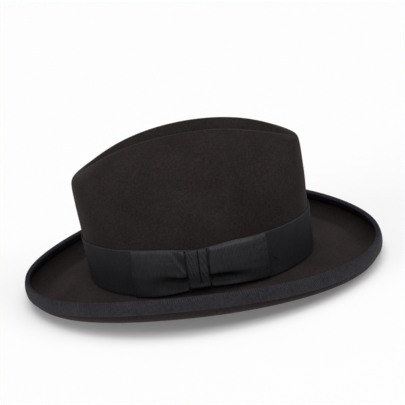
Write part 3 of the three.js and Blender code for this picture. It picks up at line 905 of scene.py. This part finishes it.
def knot_relief(share, height):
    """What the knot's pleat and its slanting folds add to its stand, in millimetres."""
    x, fallen = share * KNOT["half"], KNOT["high"] - height
    pleat = PLEAT["middle"] - PLEAT["lean"] * fallen
    beside = sum(height * bump(x, pleat + at, half) for height, at, half in PLEAT_RIDGES)
    pleated = beside - PLEAT["depth"] * bump(x, pleat, PLEAT["half"])
    added = KNOT["crown"] * (1 - share ** 2) + pleated * (1 - smooth(fallen, *PLEAT["closing"]))
    second = SECOND_PLEAT["depth"] * bump(x, SECOND_PLEAT["middle"], SECOND_PLEAT["half"])
    added = added - second * within(fallen, SECOND_PLEAT["opening"], SECOND_PLEAT["closing"])
    added = added + slants(x, fallen, pleat - x, FRONT_SLANTS)
    added = added + slants(x, fallen, x - pleat, REAR_SLANTS)
    foot = smooth(fallen, *FOOT_GATHERS["opening"]) * smooth(-x, *FOOT_GATHERS["clear"])
    gathers = FOOT_GATHERS["height"] * np.sin(x * 2 * math.pi / FOOT_GATHERS["pitch"])
    return added + foot * gathers


def slants(x, fallen, away, folds):
    """Low slanting folds beside the pleat, away being the distance from it."""
    wave = (x - folds["lean"] * fallen) * 2 * math.pi / folds["pitch"]
    held = smooth(away, *folds["clear"]) * within(fallen, folds["opening"], folds["closing"])
    return folds["height"] * held * np.sin(wave + folds["phase"])


def drawn_in(fallen):
    """How far the wrap's face is drawn in toward the band at a distance below its top."""
    top = DRAWN_IN["top"] * (1 - smooth(fallen, *DRAWN_IN["top_closing"]))
    return DRAWN_IN["foot"] * smooth(fallen, *DRAWN_IN["foot_opening"]) + top


def bow_knot():
    tall, middle = KNOT["high"] - KNOT["low"], (KNOT["high"] + KNOT["low"]) / 2
    path = knot_path(round(tall / RIB_PITCH) * RIB_COLUMNS)
    height, distance = path.T
    face = smooth(distance, CLEARANCE, KNOT["stand"])
    sunk = drawn_in(KNOT["high"] - height) * face
    length = np.concatenate([[0], np.cumsum(np.hypot(*np.diff(path, axis=0).T))])
    ribbed = KNOT_RIBS * RIB_HEIGHT * rib_profile(length / RIB_PITCH)
    share = np.linspace(-1, 1, KNOT_COLUMNS)[:, None]
    past = np.maximum(np.abs(share) - KNOT_SIDES["start"], 0) / (1 - KNOT_SIDES["start"])
    added = knot_relief(share, height) - KNOT_SIDES["fall"] * past ** 2 * face + ribbed
    along = share * KNOT["half"] * (1 - KNOT["waist"] * np.cos((height - middle) / tall * math.pi))
    front = band_point(along, height, distance - sunk + added * face)
    shrink = 1 - KNOT["wall"] / (KNOT["high"] - middle)
    thin = (KNOT["stand"] - KNOT["wall"] - CLEARANCE) / (KNOT["stand"] - CLEARANCE)
    inset = CLEARANCE + (distance - CLEARANCE) * thin - sunk
    rear = band_point(along, middle + (height - middle) * shrink, inset)
    grid = np.concatenate([front, rear[:, ::-1]], 1)
    rows = np.concatenate([length, 2.1 * length[-1] - length[::-1], [2.2 * length[-1]]]) * MM
    across = RIBBON_WIDTH * (0.5 + 0.22 * share[:, 0])
    piece = loft("knot", grid, across, rows, BOW_RIBBON, loop=True, caps=True)
    turn_weave(piece)
    return piece


def turn_weave(piece):
    """Swaps the weave coordinates, for a ribbon that runs up the hat and not round it."""
    layer = piece.data.uv_layers["weave"].data
    values = np.empty(len(layer) * 2, np.float32)
    layer.foreach_get("uv", values)
    layer.foreach_set("uv", values.reshape(-1, 2)[:, ::-1].ravel())


place(bow_knot(), "bow_ribbon", "bow_knot")


# Stitches on the bow

STITCH = dict(lift=0.28, radius=0.48)
# Places of the stitches at each end of the bow: along, and share across
FRONT_STITCHES = ([(-58.9, 0.05 + 0.031 * k) for k in range(14)]
                  + [(-59.0, 0.56 + 0.028 * k) for k in range(12)])
REAR_SHARES = (0.9, 0.86, 0.72, 0.68, 0.5, 0.455, 0.3, 0.26, 0.12, 0.08)
REAR_STITCHES = [(62.6 - 0.4 * (k % 2), share) for k, share in enumerate(REAR_SHARES)]
# Ends of the tack on the band, along and up
TACK = dict(ends=[(72.5, 19.5), (75.2, 15.5)], lift=0.3, radius=0.5)
THREAD_SIDES = 6
THREAD_FLATNESS = 0.6
# Share along a thread and its thickness there
THREAD_TAPER = ((0, 0.4), (0.2, 1), (0.8, 1), (1, 0.4))


def thread_run(name, points, radius, slot):
    """Short threads lying on the cloth, each between two of the points."""
    verts, faces = [], []
    outward = unit(points * (1, 1, 0))
    turns = np.linspace(0, 2 * math.pi, THREAD_SIDES, endpoint=False)
    side_ring = np.arange(THREAD_SIDES)
    for a, b, out in zip(points[::2], points[1::2], outward[::2]):
        side = unit(np.cross(unit(b - a), out))
        lift = np.cross(side, unit(b - a))
        ring = np.outer(np.cos(turns), side) + THREAD_FLATNESS * np.outer(np.sin(turns), lift)
        start = len(verts)
        for share, size in THREAD_TAPER:
            verts += list(a + (b - a) * share + radius * size * ring)
        for k in range(len(THREAD_TAPER) - 1):
            low = start + THREAD_SIDES * k + side_ring
            high = low + THREAD_SIDES
            faces += np.stack([low, np.roll(low, -1), np.roll(high, -1), high], -1).tolist()
        faces.append((start + side_ring[::-1]).tolist())
        faces.append((len(verts) - THREAD_SIDES + side_ring).tolist())
    uvs = np.zeros((sum(len(f) for f in faces), 2))
    place(mesh_object(name, np.array(verts), faces, uvs, THREAD), slot)


def bow_stitches():
    """Threads that hold the ends of both wings, and a tack on the band behind them."""
    for name, spots in (("front_stitches", FRONT_STITCHES), ("back_stitches", REAR_STITCHES)):
        leaning, height, stand = bow_surface(*np.array(spots).T)
        points = band_point(leaning, height, stand + STITCH["lift"])
        thread_run(name, points, STITCH["radius"], "bow_ribbon")
    along, height = np.array(TACK["ends"]).T
    thread_run("tack", band_point(along, height, TACK["lift"]), TACK["radius"], "band_ribbon")


bow_stitches()


# Binding

BINDING = dict(inner=5.4, outer=10, roundness=0.8, pitch=1.95, slant=0.7, relief=1.3, columns=6)
# Length over which the ribs lean by the slant
BINDING_LEAN = 150
EDGE_DROP = 0.35
FOLD_STEPS = 9
# Shares of the way from each edge of the ribbon to the lip
INNER_SHARES = (0, 0.06, 0.3, 0.65)
OUTER_SHARES = (0.75, 0.5, 0.25, 0.04, 0)


def brim_lip(t):
    return curl_section(t, np.ones(np.shape(t)))


def slanted(t, back):
    """Angles of the ribs at a distance from the lip: they lean along the binding."""
    return t + BINDING["slant"] * back / BINDING_LEAN


def binding_face(even, width, share, distance):
    """Points at a distance from the felt's upper face, negative under the brim, and at a share of
    the ribbon's width on that side, from its edge to the lip."""
    back = width * (1 - share)
    t = slanted(even, back if distance[0, 0] < 0 else -back)
    radius, fall = brim_shape(t)[2], brim_shape(t)[4]
    u = 1 - back / (radius * (CURL_TURN + fall))
    return curl_section(t, u) + normal(curl_section, t, u) * distance[..., None]


def binding_over(even, distance, lift):
    """Points past the lip by a lift, at a distance from the felt's upper face."""
    t = slanted(even, -distance - FELT_WALL / 2)
    tip = brim_lip(t)
    rise = unit(tip - curl_section(t, np.full(t.shape, 0.99)))
    out = normal(curl_section, t, np.ones(t.shape))
    return tip + out * distance[..., None] + rise * lift[..., None]


def binding_columns(even, ribbed):
    """The binding's section, from the edge inside the curl over the lip to the other edge, and
    back on the felt's side."""
    flat = np.zeros(ribbed.shape)
    near, far, under = CLEARANCE, CLEARANCE + RIBBON, -FELT_WALL
    inner, outer, round_off = BINDING["inner"], BINDING["outer"], BINDING["roundness"]
    columns = []
    for share in INNER_SHARES:
        drop = 0 if share else EDGE_DROP
        columns.append(binding_face(even, inner, share, far - drop + ribbed))
    for angle in np.linspace(0, math.pi, FOLD_STEPS):
        c, s = math.cos(angle), math.sin(angle)
        half = (far - under / 2 + ribbed) * math.copysign(abs(c) ** round_off, c)
        columns.append(binding_over(even, under / 2 + half, (far + ribbed) * s ** round_off))
    for share in OUTER_SHARES:
        drop = 0 if share else EDGE_DROP
        columns.append(binding_face(even, outer, share, under - far + drop - ribbed))
    columns += [binding_face(even, outer, share, flat + under - near) for share in (0, 0.5)]
    columns += [binding_over(even, flat + side, flat + near) for side in (under - near, near)]
    return columns + [binding_face(even, inner, 0, flat + near)]


def brim_binding():
    length = lengths_round(brim_lip)[1][-1]
    columns = round(length / BINDING["pitch"]) * BINDING["columns"]
    even = even_angles(brim_lip, columns)[:, None]
    ribbed = BINDING["relief"] * rib_relief(columns, BINDING["columns"])[:, None]
    grid = np.concatenate(binding_columns(even, ribbed), 1)
    steps = np.linalg.norm(np.diff(grid[0], axis=0), axis=-1)
    across = np.concatenate([[0], np.cumsum(steps), [steps.sum() + 1]]) * MM
    along = rib_weave(columns + 1, BINDING["columns"])
    piece = loft("binding", grid, along, across, BINDING_RIBBON, ring=True, loop=True)
    return piece


place(brim_binding(), "binding_ribbon", "brim_binding")


# Floor and light

FLOOR = dict(size=12, height=-0.0002, white=(0.93, 0.93, 0.93, 1.0), glow=(1.0, 0.985, 1.0, 1.0),
             glow_strength=0.16, roughness=0.9, specular=0.1)
WORLD_STRENGTH = 0.1
SUN_DISTANCE = 2.0
# Degrees round the hat from the camera to its right, elevation, spread, and strength
SUNS = dict(overhead=(0, 90, 44, 0.50), front=(5, 64, 44, 1.50), right=(65, 45, 40, 0.62),
            low_left=(-55, 25, 36, 0.52))


def add_floor():
    bpy.ops.mesh.primitive_plane_add(size=FLOOR["size"], location=(0, 0, FLOOR["height"]))
    floor = bpy.context.object
    floor.name = "floor"
    material, _, shader = new_material("floor")
    shader.inputs["Base Color"].default_value = FLOOR["white"]
    shader.inputs["Emission Color"].default_value = FLOOR["glow"]
    shader.inputs["Emission Strength"].default_value = FLOOR["glow_strength"]
    shader.inputs["Roughness"].default_value = FLOOR["roughness"]
    shader.inputs["Specular IOR Level"].default_value = FLOOR["specular"]
    floor.data.materials.append(material)


def add_sun(name, turn, elevation, spread, strength):
    """A wide soft light."""
    data = bpy.data.lights.new(name, "SUN")
    data.energy = strength
    data.angle = math.radians(spread)
    toward = direction(VIEW["azimuth"] + turn, elevation)
    lamp = bpy.data.objects.new(name, data)
    lamp.location = toward * SUN_DISTANCE
    lamp.rotation_euler = (-toward).to_track_quat("-Z", "Y").to_euler()
    bpy.context.scene.collection.objects.link(lamp)


def add_light():
    scene = bpy.context.scene
    world = bpy.data.worlds.new("studio")
    world.use_nodes = True
    background = world.node_tree.nodes["Background"]
    background.inputs["Color"].default_value = (1.0, 1.0, 1.0, 1.0)
    background.inputs["Strength"].default_value = WORLD_STRENGTH
    scene.world = world
    scene.view_settings.view_transform = "Standard"
    scene.view_settings.look = "None"
    for name, values in SUNS.items():
        add_sun(name, *values)


add_floor()
add_light()
